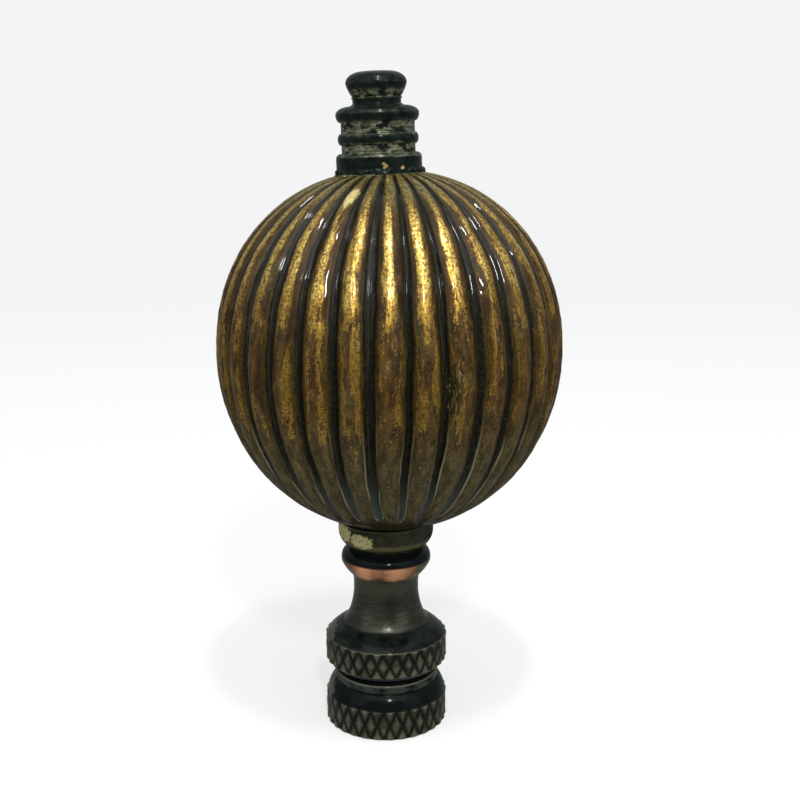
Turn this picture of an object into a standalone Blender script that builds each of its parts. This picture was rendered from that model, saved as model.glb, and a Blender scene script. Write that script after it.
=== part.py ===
"""Lamp shade finial: a ribbed gilt ball between a turned cap and a knurled base.

Lengths are in metres, +Z is up, and the front looks along -Y. The origin is
the centre of the threaded socket's mouth, in the plane of the underside. The
base and the cup are turned about Z. The ball sits a little to the right of
that axis, and the cap leans a little to the left, as on the real piece.
"""
import math

import bmesh
import bpy

MM = 0.001

# Fits between the pieces
SEAT_CLEARANCE = 0.3 * MM

# Base: socket and underside
SOCKET_RADIUS = 2.92 * MM
SOCKET_DEPTH = 9.0 * MM
SOCKET_CHAMFER = 0.3 * MM
DRILL_POINT = 1.4 * MM
FOOT_EDGE_RADIUS = 0.12 * MM

# Base: knurled bands
KNURL_RADIUS = 6.35 * MM
KNURL_DEPTH = 0.22 * MM
KNURL_ROOT = KNURL_RADIUS - KNURL_DEPTH
KNURL_COUNT = 30
KNURL_TURN = math.radians(4.0)
LOWER_KNURL_HEIGHT = 2.95 * MM
UPPER_KNURL_HEIGHT = 2.6 * MM

# Base: shoulder, bead and groove between the bands
LOWER_SHOULDER_HEIGHT = 1.65 * MM
LOWER_SHOULDER_RADIUS = 5.3 * MM
LOWER_SHOULDER_FULLNESS = 0.6
WAIST_BEAD_RADIUS = 5.45 * MM
WAIST_BEAD_HEIGHT = 0.9 * MM
WAIST_GROOVE_RADIUS = 4.9 * MM
WAIST_GROOVE_HEIGHT = 0.75 * MM
UPPER_KNURL_CHAMFER = 0.5 * MM

# Base: bell and neck
UPPER_SHOULDER_HEIGHT = 1.35 * MM
UPPER_SHOULDER_RADIUS = 4.55 * MM
UPPER_SHOULDER_FULLNESS = 0.3
BELL_HEIGHT = 3.35 * MM
BELL_FULLNESS = 0.65
NECK_RADIUS = 3.36 * MM
NECK_HEIGHT = 0.9 * MM

# Base: flange under the cup
FLANGE_FILLET_HEIGHT = 1.3 * MM
FLANGE_FILLET_RADIUS = 3.82 * MM
FLANGE_RADIUS = 4.62 * MM
FLANGE_UNDERSIDE_HEIGHT = 1.2 * MM
FLANGE_UNDERSIDE_FULLNESS = 0.25
FLANGE_EDGE_HEIGHT = 0.35 * MM
FLANGE_ROUND_HEIGHT = 1.0 * MM
FLANGE_TOP_RADIUS = 3.6 * MM

# Cup that carries the ball
CUP_LIP_RADIUS = 3.5 * MM
CUP_RIM_RADIUS = 4.9 * MM
CUP_ROUND_HEIGHT = 1.65 * MM
CUP_RIM_HEIGHT = 1.1 * MM

# Ribbed ball
BALL_RADIUS = 17.18 * MM
BALL_UPPER_HEIGHT = 17.68 * MM
BALL_LOWER_HEIGHT = 18.15 * MM
BALL_UPPER_POWER = 2.14
BALL_LOWER_POWER = 2.03
BALL_OFFSET = 0.42 * MM
RIB_COUNT = 31
RIB_TURN = math.radians(3.2)
GROOVE_DEPTH = 0.75 * MM
RIB_SHARPNESS = 0.8
SEAT_MARGIN = 0.3 * MM

# Cap on the ball
CAP_OFFSET = -0.53 * MM
CAP_LEAN = math.radians(2.1)
CAP_FLANGE_RADIUS = 4.15 * MM
CAP_FLANGE_HEIGHT = 1.1 * MM
CAP_FLANGE_ROUND = 0.47 * MM
CAP_GROOVE_RADIUS = 3.56 * MM
CAP_LOWER_GROOVE_HEIGHT = 0.74 * MM
CAP_BEAD_RADIUS = 3.9 * MM
CAP_BEAD_HEIGHT = 1.13 * MM
CAP_UPPER_GROOVE_HEIGHT = 1.0 * MM
CAP_TORUS_RADIUS = 4.02 * MM
CAP_TORUS_HEIGHT = 1.5 * MM
CAP_TORUS_TOP_RADIUS = 2.65 * MM
CAP_SLOPE_HEIGHT = 0.2 * MM
CAP_NECK_RADIUS = 2.33 * MM
CAP_NECK_HEIGHT = 0.6 * MM
KNOB_RADIUS = 2.94 * MM
KNOB_UNDERSIDE_HEIGHT = 1.3 * MM
KNOB_FULLNESS = 0.3
KNOB_DOME_HEIGHT = 1.08 * MM
KNOB_FLAT_RADIUS = 1.4 * MM

# Fineness of the facets
BASE_COLUMNS = 2 * KNURL_COUNT
CAP_COLUMNS = 32
RIB_POINTS = 4
BALL_RINGS = 15
SMOOTH_ANGLE = math.radians(40)
SAME_RADIUS = 0.001 * MM


def clear_scene():
    """Empty the scene before the finial is built."""
    for thing in list(bpy.data.objects):
        bpy.data.objects.remove(thing, do_unlink=True)


def principled(name, colour, roughness, metallic):
    """A plain material with the piece's colour and shine."""
    material = bpy.data.materials.new(name)
    material.use_nodes = True
    shader = material.node_tree.nodes["Principled BSDF"]
    shader.inputs["Base Color"].default_value = (*colour, 1.0)
    shader.inputs["Roughness"].default_value = roughness
    shader.inputs["Metallic"].default_value = metallic
    return material


def arc(start, end, steps, leave_upright, fullness=1.0):
    """Points of a quarter ellipse from start to end, without start itself.

    The curve leaves start upright, or else it leaves it level and arrives upright.
    A fullness below 1 flattens it towards the straight line.
    """
    points = []
    for step in range(1, steps + 1):
        turn = 0.5 * math.pi * step / steps
        along_radius = 1 - math.cos(turn) if leave_upright else math.sin(turn)
        along_height = math.sin(turn) if leave_upright else 1 - math.cos(turn)
        chord = 0.5 * (along_radius + along_height)
        along_radius = chord + (along_radius - chord) * fullness
        along_height = chord + (along_height - chord) * fullness
        radius = start[0] + (end[0] - start[0]) * along_radius
        height = start[1] + (end[1] - start[1]) * along_height
        points.append((radius, height))
    return points


def bulge(start, height, peak_radius, steps):
    """Points of a rounded bead that stands on start and closes at the same radius."""
    radius, low = start
    points = []
    for step in range(1, steps + 1):
        turn = math.pi * step / steps
        out = (peak_radius - radius) * math.sin(turn)
        points.append((radius + out, low + 0.5 * height * (1 - math.cos(turn))))
    return points


def level(radius, height, columns):
    """One ring of points: the radius may be a number or a function of the column."""
    ring = []
    for column in range(columns):
        reach = radius(column) if callable(radius) else radius
        turn = 2 * math.pi * column / columns
        ring.append((reach * math.cos(turn), reach * math.sin(turn), height))
    return ring


def folds_outward(near, far, over_far, over_near):
    """True where a four-sided patch has its ridge from near to over_far."""
    ridge = math.hypot(*near.co.xy) + math.hypot(*over_far.co.xy)
    valley = math.hypot(*far.co.xy) + math.hypot(*over_near.co.xy)
    return ridge - valley > SAME_RADIUS


def skin(name, rings, low_pole, high_pole, material):
    """Close a stack of rings, from the low pole out and up to the high pole, into one solid."""
    shape = bmesh.new()
    rows = [[shape.verts.new(point) for point in ring] for ring in rings]
    bottom = shape.verts.new((0, 0, low_pole))
    top = shape.verts.new((0, 0, high_pole))
    columns = len(rows[0])
    for column in range(columns):
        after = (column + 1) % columns
        shape.faces.new((bottom, rows[0][after], rows[0][column]))
        shape.faces.new((top, rows[-1][column], rows[-1][after]))
    for lower, upper in zip(rows, rows[1:]):
        for column in range(columns):
            after = (column + 1) % columns
            patch = (lower[column], lower[after], upper[after], upper[column])
            near, far, over_far, over_near = patch
            if folds_outward(*patch):
                shape.faces.new((near, far, over_near))
                shape.faces.new((far, over_far, over_near))
            else:
                shape.faces.new((near, far, over_far))
                shape.faces.new((near, over_far, over_near))
    bmesh.ops.recalc_face_normals(shape, faces=shape.faces)
    mesh = bpy.data.meshes.new(name)
    shape.to_mesh(mesh)
    shape.free()
    mesh.materials.append(material)
    mesh.shade_smooth()
    mesh.set_sharp_from_angle(angle=SMOOTH_ANGLE)
    piece = bpy.data.objects.new(name, mesh)
    bpy.context.scene.collection.objects.link(piece)
    return piece


def turned(name, profile, columns, material):
    """Turn a profile, whose first and last points lie on the axis, into a solid."""
    rings = [level(radius, height, columns) for radius, height in profile[1:-1]]
    return skin(name, rings, profile[0][1], profile[-1][1], material)


def knurl_row(raised):
    """Radius of one row of the diamond knurl: peaks and crossings take turns."""
    def reach(column):
        return KNURL_RADIUS if column % 2 == raised else KNURL_ROOT
    return reach


def knurl_band(low, height):
    """Three rows of diamonds: half ones below, whole ones between, half ones above."""
    return [(knurl_row(step % 2), low + 0.5 * height * step) for step in range(3)]


def socket_profile():
    """From the drill point on the axis down the bore and out over the underside."""
    return [
        (0, SOCKET_DEPTH + DRILL_POINT),
        (SOCKET_RADIUS, SOCKET_DEPTH),
        (SOCKET_RADIUS, SOCKET_CHAMFER),
        (SOCKET_RADIUS + SOCKET_CHAMFER, 0),
        (KNURL_ROOT - FOOT_EDGE_RADIUS, 0),
    ]


def base_profile():
    """The base's outline, from its socket up its outer side to the flange's top."""
    rows = socket_profile()
    rows += knurl_band(FOOT_EDGE_RADIUS, LOWER_KNURL_HEIGHT)
    low = rows[-1][1]
    shoulder_top = (LOWER_SHOULDER_RADIUS, low + LOWER_SHOULDER_HEIGHT)
    rows += arc((KNURL_ROOT, low), shoulder_top, 3, True, LOWER_SHOULDER_FULLNESS)
    rows += bulge(shoulder_top, WAIST_BEAD_HEIGHT, WAIST_BEAD_RADIUS, 3)
    low = rows[-1][1]
    rows.append((WAIST_GROOVE_RADIUS, low + 0.5 * WAIST_GROOVE_HEIGHT))
    band = low + WAIST_GROOVE_HEIGHT + UPPER_KNURL_CHAMFER
    rows.append((KNURL_ROOT - UPPER_KNURL_CHAMFER, band - UPPER_KNURL_CHAMFER))
    rows += knurl_band(band, UPPER_KNURL_HEIGHT)
    low = rows[-1][1]
    shoulder_top = (UPPER_SHOULDER_RADIUS, low + UPPER_SHOULDER_HEIGHT)
    rows += arc((KNURL_ROOT, low), shoulder_top, 3, True, UPPER_SHOULDER_FULLNESS)
    neck = (NECK_RADIUS, shoulder_top[1] + BELL_HEIGHT)
    rows += arc(shoulder_top, neck, 4, False, BELL_FULLNESS)
    rows.append((NECK_RADIUS, neck[1] + NECK_HEIGHT))
    fillet_top = (FLANGE_FILLET_RADIUS, neck[1] + NECK_HEIGHT + FLANGE_FILLET_HEIGHT)
    rows += arc(rows[-1], fillet_top, 2, True)
    edge = (FLANGE_RADIUS, fillet_top[1] + FLANGE_UNDERSIDE_HEIGHT)
    rows += arc(fillet_top, edge, 3, False, FLANGE_UNDERSIDE_FULLNESS)
    rows.append((FLANGE_RADIUS, edge[1] + FLANGE_EDGE_HEIGHT))
    flange_top = (FLANGE_TOP_RADIUS, edge[1] + FLANGE_EDGE_HEIGHT + FLANGE_ROUND_HEIGHT)
    rows += arc(rows[-1], flange_top, 2, True)
    rows.append((0, flange_top[1]))
    return rows


def cup_profile(low):
    """The cup's outline: a rounded side between its lip and the rim under the ball."""
    rim = (CUP_RIM_RADIUS, low + CUP_ROUND_HEIGHT)
    rows = [(0, low), (CUP_LIP_RADIUS, low)]
    rows += arc(rows[-1], rim, 4, False)
    rows.append((CUP_RIM_RADIUS, rim[1] + CUP_RIM_HEIGHT))
    rows.append((0, rim[1] + CUP_RIM_HEIGHT))
    return rows


def ball_rise(reach):
    """Height above the ball's middle at which its ribs have this radius."""
    return BALL_UPPER_HEIGHT * (1 - (reach / BALL_RADIUS) ** BALL_UPPER_POWER) ** (1 / BALL_UPPER_POWER)


def ball_drop(reach):
    """Depth below the ball's middle at which its ribs have this radius."""
    return BALL_LOWER_HEIGHT * (1 - (reach / BALL_RADIUS) ** BALL_LOWER_POWER) ** (1 / BALL_LOWER_POWER)


def rib_radius(crest):
    """Radius round one level of the ball, whose ribs stand at crest there."""
    depth = GROOVE_DEPTH * math.sqrt(crest / BALL_RADIUS)

    def reach(column):
        rise = abs(math.cos(math.pi * column / RIB_POINTS)) ** RIB_SHARPNESS
        return crest - depth * (1 - rise)
    return reach


def ball_rings(seat):
    """Rings of the ball from the flat on the cup to the flat under the cap."""
    low_reach = CUP_RIM_RADIUS + SEAT_MARGIN
    high_reach = CAP_FLANGE_RADIUS + SEAT_MARGIN
    middle = seat + ball_drop(low_reach)
    low_turn = -math.acos(low_reach / BALL_RADIUS)
    high_turn = math.acos(high_reach / BALL_RADIUS)
    rings = []
    for index in range(BALL_RINGS):
        turn = low_turn + (high_turn - low_turn) * index / (BALL_RINGS - 1)
        crest = BALL_RADIUS * math.cos(turn)
        height = middle + ball_rise(crest) if turn > 0 else middle - ball_drop(crest)
        rings.append(level(rib_radius(crest), height, RIB_COUNT * RIB_POINTS))
    return rings


def cap_profile():
    """The cap's outline: flange, groove, bead, groove, torus, neck and domed knob."""
    rows = [(0, 0), (CAP_FLANGE_RADIUS, 0), (CAP_FLANGE_RADIUS, CAP_FLANGE_HEIGHT)]
    rows += arc(rows[-1], (CAP_GROOVE_RADIUS, CAP_FLANGE_HEIGHT + CAP_FLANGE_ROUND), 3, True)
    rows.append((CAP_GROOVE_RADIUS, rows[-1][1] + CAP_LOWER_GROOVE_HEIGHT))
    rows += bulge(rows[-1], CAP_BEAD_HEIGHT, CAP_BEAD_RADIUS, 4)
    rows.append((CAP_GROOVE_RADIUS, rows[-1][1] + CAP_UPPER_GROOVE_HEIGHT))
    middle = (CAP_TORUS_RADIUS, rows[-1][1] + 0.5 * CAP_TORUS_HEIGHT)
    rows += arc(rows[-1], middle, 3, False)
    torus_top = (CAP_TORUS_TOP_RADIUS, middle[1] + 0.5 * CAP_TORUS_HEIGHT)
    rows += arc(middle, torus_top, 3, True)
    rows.append((CAP_NECK_RADIUS, torus_top[1] + CAP_SLOPE_HEIGHT))
    rows.append((CAP_NECK_RADIUS, rows[-1][1] + CAP_NECK_HEIGHT))
    widest = (KNOB_RADIUS, rows[-1][1] + KNOB_UNDERSIDE_HEIGHT)
    rows += arc(rows[-1], widest, 3, False, KNOB_FULLNESS)
    rows += arc(widest, (KNOB_FLAT_RADIUS, widest[1] + KNOB_DOME_HEIGHT), 4, True)
    rows.append((0, rows[-1][1]))
    return rows


def build():
    """Build the four pieces, each on the one below it."""
    clear_scene()
    dark_brass = principled("dark_brass", (0.045, 0.05, 0.045), 0.35, 0.9)
    worn_bronze = principled("worn_bronze", (0.11, 0.095, 0.065), 0.4, 0.9)
    olive_brass = principled("olive_brass", (0.13, 0.125, 0.075), 0.45, 0.7)
    old_gilt = principled("old_gilt", (0.34, 0.22, 0.08), 0.3, 0.6)

    base = base_profile()
    knurled = turned("knurled_base", base, BASE_COLUMNS, worn_bronze)
    knurled.rotation_euler.z = KNURL_TURN
    cup = cup_profile(base[-1][1] + SEAT_CLEARANCE)
    turned("seat_cup", cup, CAP_COLUMNS, olive_brass)
    rings = ball_rings(cup[-1][1] + SEAT_CLEARANCE)
    low, high = rings[0][0][2], rings[-1][0][2]
    ball = skin("fluted_ball", rings, low, high, old_gilt)
    ball.location.x = BALL_OFFSET
    ball.rotation_euler.z = RIB_TURN
    cap = turned("top_cap", cap_profile(), CAP_COLUMNS, dark_brass)
    cap_drop = CAP_FLANGE_RADIUS * math.sin(abs(CAP_LEAN))
    cap.location = (CAP_OFFSET, 0, high + SEAT_CLEARANCE + cap_drop)
    cap.rotation_euler.y = -CAP_LEAN


build()
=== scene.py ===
"""Lamp shade finial, dressed: a ribbed gilt ball between a turned cap and a knurled base.

The file is laid out as an add-on. Run as a script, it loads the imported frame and
builds the four pieces and the studio round it, in metres, with the front towards -Y.
"""

import math

import bpy
import numpy as np
from bpy.props import FloatProperty, FloatVectorProperty, IntProperty, PointerProperty
from mathutils import Matrix, Vector


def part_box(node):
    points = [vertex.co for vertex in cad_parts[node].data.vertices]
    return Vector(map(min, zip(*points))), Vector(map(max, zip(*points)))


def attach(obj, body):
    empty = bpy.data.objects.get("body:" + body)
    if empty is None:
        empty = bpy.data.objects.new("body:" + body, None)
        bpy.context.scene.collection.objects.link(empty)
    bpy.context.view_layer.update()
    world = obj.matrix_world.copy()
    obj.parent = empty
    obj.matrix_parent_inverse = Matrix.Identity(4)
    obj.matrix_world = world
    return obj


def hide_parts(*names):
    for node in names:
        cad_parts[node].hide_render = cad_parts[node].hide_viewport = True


bl_info = {
    "name": "Lamp Shade Finial",
    "version": (1, 0, 0),
    "blender": (4, 5, 0),
    "location": "3D View > Sidebar > Finial",
    "description": "Builds a ribbed gilt lamp shade finial and its studio",
    "category": "Add Mesh",
}

MM = 0.001
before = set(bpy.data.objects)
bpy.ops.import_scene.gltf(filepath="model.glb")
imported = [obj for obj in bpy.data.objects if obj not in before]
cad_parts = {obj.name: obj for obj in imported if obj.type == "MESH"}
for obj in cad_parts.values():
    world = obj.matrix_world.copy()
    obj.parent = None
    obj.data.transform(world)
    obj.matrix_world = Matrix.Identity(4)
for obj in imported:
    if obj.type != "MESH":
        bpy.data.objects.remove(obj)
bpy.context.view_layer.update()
cup_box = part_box("seat_cup")
ball_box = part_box("fluted_ball")
cap_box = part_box("top_cap")


# Settings: sizes and colours that a user would change

def length(name, description, millimetres):
    """A length property whose default is given in millimetres."""
    return FloatProperty(
        name=name, description=description, default=millimetres * MM, unit="LENGTH", precision=5,
    )


def colour(name, description, red, green, blue):
    """A colour property, in linear values."""
    return FloatVectorProperty(
        name=name, description=description, default=(red, green, blue), subtype="COLOR", min=0.0, max=1.0,
    )


def factor(name, description, value):
    """A plain number from 0 to 1."""
    return FloatProperty(name=name, description=description, default=value, min=0, max=1, subtype="FACTOR")


def angle(name, description, degrees):
    """An angle property whose default is given in degrees."""
    return FloatProperty(name=name, description=description, default=math.radians(degrees), subtype="ANGLE")


class BallSettings(bpy.types.PropertyGroup):
    """Sizes and finish of the ribbed ball"""

    radius: length("Radius", "Reach of the ribs at the ball's middle", 17.18)
    upper_height: length("Upper height", "Height of the half above the middle", 17.68)
    lower_height: length("Lower height", "Height of the half below the middle", 18.15)
    foot_radius: length("Foot radius", "Radius of the flat that stands on the cup", 4.6)
    crown_radius: length("Crown radius", "Radius of the flat under the cap", 3.0)
    offset: length("Offset", "How far the ball sits to the right of the base's axis", 0.42)
    groove_depth: length("Groove depth", "Depth of the grooves at the middle", 0.95)
    ribs: IntProperty(name="Ribs", description="Ribs round the ball", default=31, min=8)
    turn: angle("Turn", "Turn of the ribs about the axis", 3.2)
    gold: colour("Leaf", "Gold leaf on the ribs", 0.46, 0.290, 0.044)
    # Bare leaf: laid only above the ball's middle, partly leaf with the glaze rubbed off and partly a painted
    # highlight
    pale: colour("Bare leaf", "Paler leaf where the glaze is rubbed off", 0.80, 0.60, 0.17)
    brown: colour("Glaze", "Reddish-brown glaze over the leaf", 0.068, 0.035, 0.0080)
    # Made lighter, this olive also paints the rim highlight above the middle
    olive: colour("Lower tone", "Olive glaze of the lower half and the rims", 0.062, 0.054, 0.021)
    groove: colour("Groove", "Dark paint left in the grooves", 0.0040, 0.0038, 0.0028)
    # Painted reflection: the grey of the grooves near the foot
    groove_end_reflection: colour("Groove ends", "Greyer paint in the grooves near the foot", 0.030, 0.038, 0.032)
    # Painted highlight: the pale line on the rims of the lower grooves
    rim: colour("Rims", "Pale line along the rims of the lower grooves", 0.20, 0.205, 0.145)
    chip: colour("Chip", "Bare pale ground in the chip and the scratches", 0.60, 0.50, 0.20)


class BaseSettings(bpy.types.PropertyGroup):
    """Sizes and finish of the knurled base"""

    knurl_radius: length("Knurl radius", "Reach of the diamonds of both bands", 6.35)
    knurl_depth: length("Knurl depth", "Depth of the crossing cuts", 0.12)
    diamonds: IntProperty(name="Diamonds", description="Diamonds round each band", default=30, min=6)
    turn: angle("Turn", "Turn of the diamonds about the axis", 4.0)
    neck_radius: length("Neck radius", "Radius of the slim neck", 3.36)
    bronze: colour("Bronze", "Brushed bronze of the bell and the neck", 0.098, 0.101, 0.074)
    lacquer: colour("Lacquer", "Glossy black of the shoulders and the flange", 0.0035, 0.0048, 0.0050)
    # Painted shade: this colour darkens the streak down the front of the bell and the bell's bottom
    patina_and_painted_shade: colour("Patina", "Brown streak down the front of the bell", 0.034, 0.032, 0.024)
    waist: colour("Waist", "Grey-green of the bead between the bands", 0.032, 0.044, 0.034)
    copper: colour("Copper", "Worn copper-coloured underside of the flange", 0.62, 0.30, 0.155)
    tips: colour("Knurl tips", "Worn metal on the diamonds", 0.25, 0.24, 0.175)


class CupSettings(bpy.types.PropertyGroup):
    """Sizes and finish of the cup under the ball"""

    rim_radius: length("Rim radius", "Radius of the rim under the ball", 4.9)
    lip_radius: length("Lip radius", "Radius where the cup stands on the base", 3.5)
    olive: colour("Olive", "Dull olive brown of the cup", 0.036, 0.037, 0.024)
    leaf: colour("Leaf", "Patch of pale leaf at the front left", 0.50, 0.46, 0.21)


class CapSettings(bpy.types.PropertyGroup):
    """Sizes and finish of the turned cap"""

    flange_radius: length("Flange radius", "Radius of the plain flange on the ball", 4.15)
    torus_radius: length("Torus radius", "Radius of the rounded ring", 4.02)
    knob_radius: length("Knob radius", "Radius of the domed knob", 2.94)
    offset: length("Offset", "How far the cap sits from the base's axis", -0.53)
    lean: angle("Lean", "Lean of the cap to the left", 2.1)
    black: colour("Black", "Near-black oxidised surface", 0.0042, 0.0078, 0.0062)
    worn: colour("Worn brass", "Olive brass that shows where the black is worn", 0.44, 0.45, 0.29)
    rubbed: colour("Rubbed top", "Brown metal that shows on top of the knob", 0.11, 0.075, 0.055)
    flake: colour("Flakes", "Gold flakes at the cap's foot", 0.62, 0.48, 0.18)


class StudioSettings(bpy.types.PropertyGroup):
    """Camera, floor and light"""

    distance: length("Distance", "From the axis to the camera along Y", 113.3)
    height: length("Height", "Height of the camera", 59.7)
    aside: length("Aside", "How far the camera stands to the right", 1.461)
    pitch: angle("Pitch", "How far the camera looks down", 12.6)
    lens: FloatProperty(name="Lens", description="Focal length for a 36 mm sensor, in mm", default=51.66)
    floor: colour("Floor", "Pale floor and backdrop", 0.40, 0.40, 0.40)
    air: colour("Surroundings", "Tint of the light from all round", 0.95, 1.0, 0.98)
    glow: factor("Floor glow", "Own light of the floor and backdrop", 0.58)
    below: factor("Light below", "Brightness of the surroundings below the horizon", 0.14)
    level: factor("Light at the horizon", "Brightness of the surroundings at the horizon", 0.20)
    above: factor("Light above", "Brightness of the surroundings overhead", 0.48)


# Node trees

TINY = 1e-6
PATCH_EDGE = (1.05, 0.92)
SHEEN_TINT = (0.62, 0.78, 0.66, 1.0)
INPUT_KINDS = {float: "NodeSocketFloat", int: "NodeSocketInt", bpy.types.Material: "NodeSocketMaterial"}


class Wire:
    """A socket that feeds other nodes; arithmetic on it adds a step to its node tree."""

    def __init__(self, socket):
        self.socket = socket
        self.tree = socket.id_data

    def __add__(self, other):
        return calc("ADD", self, other)

    def __sub__(self, other):
        return calc("SUBTRACT", self, other)

    def __rsub__(self, other):
        return calc("SUBTRACT", other, self)

    def __mul__(self, other):
        return calc("MULTIPLY", self, other)

    def __rmul__(self, other):
        return calc("MULTIPLY", other, self)

    def __truediv__(self, other):
        return calc("DIVIDE", self, other)

    def __rtruediv__(self, other):
        return calc("DIVIDE", other, self)

    def __pow__(self, other):
        return calc("POWER", self, other)

    def __gt__(self, other):
        return calc("GREATER_THAN", self, other)

    def __lt__(self, other):
        return calc("LESS_THAN", self, other)

    def __abs__(self):
        return calc("ABSOLUTE", self)


def put(tree, kind, inputs=None, **options):
    """Add a node, set its options, and link or set its inputs."""
    node = tree.nodes.new(kind)
    for option, value in options.items():
        setattr(node, option, value)
    for name, value in (inputs or {}).items():
        if isinstance(value, Wire):
            tree.links.new(value.socket, node.inputs[name])
        else:
            node.inputs[name].default_value = value
    return node


def wire(tree, kind, inputs=None, **options):
    """Add a node and take its first output."""
    return Wire(put(tree, kind, inputs, **options).outputs[0])


def tree_of(values):
    """The tree of the first wire among the values."""
    return next(value.tree for value in values if isinstance(value, Wire))


def calc(operation, *values):
    """One step of arithmetic on numbers."""
    return wire(tree_of(values), "ShaderNodeMath", dict(enumerate(values)), operation=operation)


def vector_step(operation, *values):
    """One step of arithmetic on vectors."""
    return wire(values[0].tree, "ShaderNodeVectorMath", dict(enumerate(values)), operation=operation)


def between(value, low, high, start=0.0, end=1.0):
    """A smooth step: start at low, end at high."""
    limits = {"Value": value, "From Min": low, "From Max": high, "To Min": start, "To Max": end}
    return wire(value.tree, "ShaderNodeMapRange", limits, interpolation_type="SMOOTHSTEP")


def window(value, low, full, high, fading):
    """1 from full to fading, 0 below low and above high."""
    return between(value, low, full) * between(value, high, fading)


def vector_of(x, y, z):
    """A vector from three numbers."""
    return wire(tree_of((x, y, z)), "ShaderNodeCombineXYZ", {0: x, 1: y, 2: z})


def parts(vector):
    """The three numbers of a vector."""
    return [Wire(output) for output in put(vector.tree, "ShaderNodeSeparateXYZ", {0: vector}).outputs]


def hypot(x, y):
    """Distance from zero of a point at x and y."""
    return calc("SQRT", x * x + y * y)


def grain(vector, scale, detail=2.0, roughness=0.5):
    """Noise between 0 and 1 on the given coordinates."""
    inputs = {"Vector": vector, "Scale": scale, "Detail": detail, "Roughness": roughness}
    return wire(vector.tree, "ShaderNodeTexNoise", inputs)


def spots(place, size, detail, roughness):
    """Noise in spots of about this size in mm."""
    return grain(place, 1 / (size * MM), detail, roughness)


def rings(place, centre, around, size, detail, roughness):
    """Noise drawn out into turning marks round an upright axis, of this height in mm."""
    x, y, z = parts(vector_step("SUBTRACT", place, (centre, 0.0, 0.0)))
    x, y, _ = parts(vector_step("NORMALIZE", vector_of(x, y, 0.0)))
    return grain(vector_of(x * around, y * around, z * (1 / (size * MM))), 1.0, detail, roughness)


def blend(share, first, second):
    """Mix two colours: first at 0, second at 1."""
    inputs = {0: share, 6: first, 7: second}
    return Wire(put(share.tree, "ShaderNodeMix", inputs, data_type="RGBA").outputs[2])


def mix(share, first, second):
    """Mix two numbers: first at 0, second at 1."""
    return wire(share.tree, "ShaderNodeMix", {0: share, 2: first, 3: second}, data_type="FLOAT")


def centred(value, gain):
    """A noise made a push up or down round zero."""
    return (value - 0.5) * gain


def rgb(value, gain=1.0):
    """A colour setting as a socket's four numbers, made lighter or darker by gain."""
    return (value[0] * gain, value[1] * gain, value[2] * gain, 1.0)


def tones(share, value, first, second):
    """Mix two tones of one colour setting, given by their gains."""
    return blend(share, rgb(value, first), rgb(value, second))


def lay(tone, share, value, gain=1.0):
    """Lay a tone of a colour setting over a colour: none of it at 0, all of it at 1."""
    return blend(share, tone, rgb(value, gain))


def carried(tree, *names):
    """The numbers that the mesh carries under these names."""
    return [Wire(put(tree, "ShaderNodeAttribute", attribute_name=name).outputs["Fac"]) for name in names]


def patch(place, centre, size, ragged=0.35, fineness=2.2, turn=0.0):
    """1 inside a ragged spot round centre, 0 outside; size is its half widths."""
    upright = wire(
        place.tree, "ShaderNodeVectorRotate", {"Vector": place, "Center": centre, "Angle": -turn},
        rotation_type="Y_AXIS",
    )
    local = vector_step("DIVIDE", vector_step("SUBTRACT", upright, centre), size)
    away = Wire(put(place.tree, "ShaderNodeVectorMath", {0: local}, operation="LENGTH").outputs["Value"])
    return between(away + centred(grain(local, fineness, 3.0, 0.6), 2.0 * ragged), *PATCH_EDGE)


def patches(place, marks, ragged, fineness):
    """1 on each of the given spots, 0 elsewhere; a mark is its centre, half widths and turn, in mm."""
    return most(*[
        patch(place, [value * MM for value in centre], [value * MM for value in size], ragged, fineness, turn)
        for centre, size, turn in marks
    ])


def most(*values):
    """The largest of several numbers."""
    result = values[0]
    for value in values[1:]:
        result = calc("MAXIMUM", result, value)
    return result


def new_material(name):
    """An empty material; returns it, its tree and the place on the object."""
    material = bpy.data.materials.new(name)
    material.use_nodes = True
    tree = material.node_tree
    tree.nodes.clear()
    return material, tree, Wire(put(tree, "ShaderNodeTexCoord").outputs["Object"])


def finish_material(tree, surface, bumps=()):
    """Wire the shader: its surface sockets, then its bumps from coarse to fine, with distances in mm."""
    surface = dict(surface)
    for height, distance, strength in bumps:
        inputs = {"Height": height, "Distance": distance * MM, "Strength": strength}
        if "Normal" in surface:
            inputs["Normal"] = surface["Normal"]
        surface["Normal"] = wire(tree, "ShaderNodeBump", inputs)
    put(tree, "ShaderNodeOutputMaterial", {0: wire(tree, "ShaderNodeBsdfPrincipled", surface)})


def geometry_tree(name, values, takes_mesh=False):
    """A Geometry Nodes tree with an input for each value; returns it, its inputs and its output node."""
    tree = bpy.data.node_groups.new(name, "GeometryNodeTree")
    if takes_mesh:
        tree.interface.new_socket("Mesh", in_out="INPUT", socket_type="NodeSocketGeometry")
    for label, value in values.items():
        tree.interface.new_socket(label, in_out="INPUT", socket_type=INPUT_KINDS[type(value)])
    tree.interface.new_socket("Mesh", in_out="OUTPUT", socket_type="NodeSocketGeometry")
    given = {socket.name: Wire(socket) for socket in tree.nodes.new("NodeGroupInput").outputs if socket.name}
    return tree, given, tree.nodes.new("NodeGroupOutput")


def carry(mesh, **values):
    """Store numbers on the points of a mesh, under the names that the materials read."""
    for label, value in values.items():
        inputs = {"Geometry": mesh, "Name": label, "Value": value}
        mesh = wire(value.tree, "GeometryNodeStoreNamedAttribute", inputs, data_type="FLOAT", domain="POINT")
    return mesh


def move_points(mesh, spot):
    """Put each point of a mesh at its spot."""
    return wire(spot.tree, "GeometryNodeSetPosition", {"Geometry": mesh, "Position": spot})


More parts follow.
